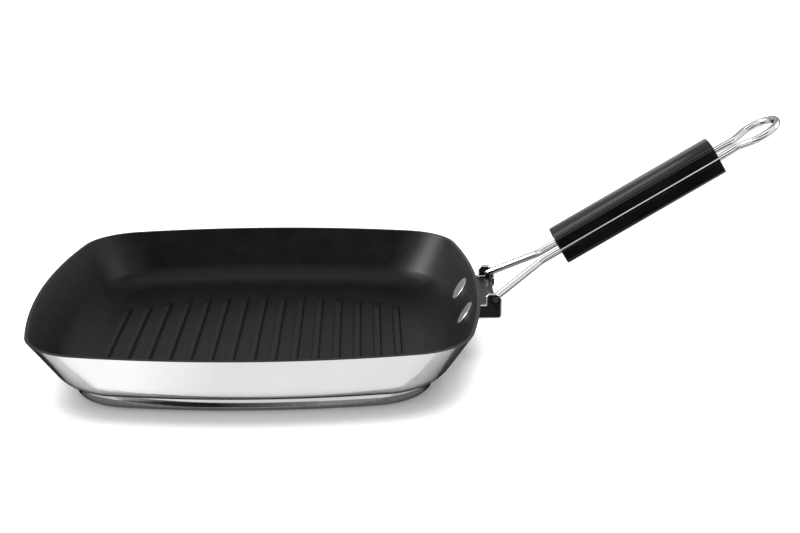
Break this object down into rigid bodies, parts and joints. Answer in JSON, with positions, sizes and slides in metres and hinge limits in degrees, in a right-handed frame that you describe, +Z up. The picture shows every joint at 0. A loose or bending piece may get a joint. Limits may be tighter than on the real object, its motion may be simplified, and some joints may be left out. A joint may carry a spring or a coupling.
{
  "type": "folding-handle grill pan",
  "caption": "Square ribbed grill pan with a lined pressed body, a bonded base and a bent wire handle that folds over the pan on a riveted bracket.",
  "frame": {"origin": "middle of the base's underside, in the plane the pan stands on", "axes": "+X from the pan's middle towards the handle, +Y across it along the grill ribs, +Z up"},
  "size_m": [0.4675, 0.28, 0.1493],
  "materials": {
    "body_steel": "fine satin, light grey",
    "coating": "black non-stick, semi-matt with a fine texture",
    "base_steel": "bright turned steel",
    "core_aluminium": "plain rolled, hidden inside",
    "bright_steel": "polished stainless steel",
    "rivet_steel": "satin steel",
    "grip_black": "black moulded, semi-gloss",
    "screw_steel": "satin steel"
  },
  "bodies": {
    "pan": {"pan_shell": "body_steel", "nonstick_lining": "coating", "base_core": "core_aluminium", "base_cap": "base_steel", "handle_bracket": "bright_steel", "rivet_near": "rivet_steel", "rivet_far": "rivet_steel"},
    "handle": {"handle_wire": "bright_steel", "grip_upper": "grip_black", "grip_lower": "grip_black", "grip_screw_inner": "screw_steel", "grip_screw_outer": "screw_steel"}
  },
  "joints": [
    {"name": "handle_fold", "type": "hinge", "parent": "pan", "child": "handle", "pos_m": [0.1484, 0, 0.0399], "axis": [0, -1, 0], "range_deg": [0, 123]}
  ]
}
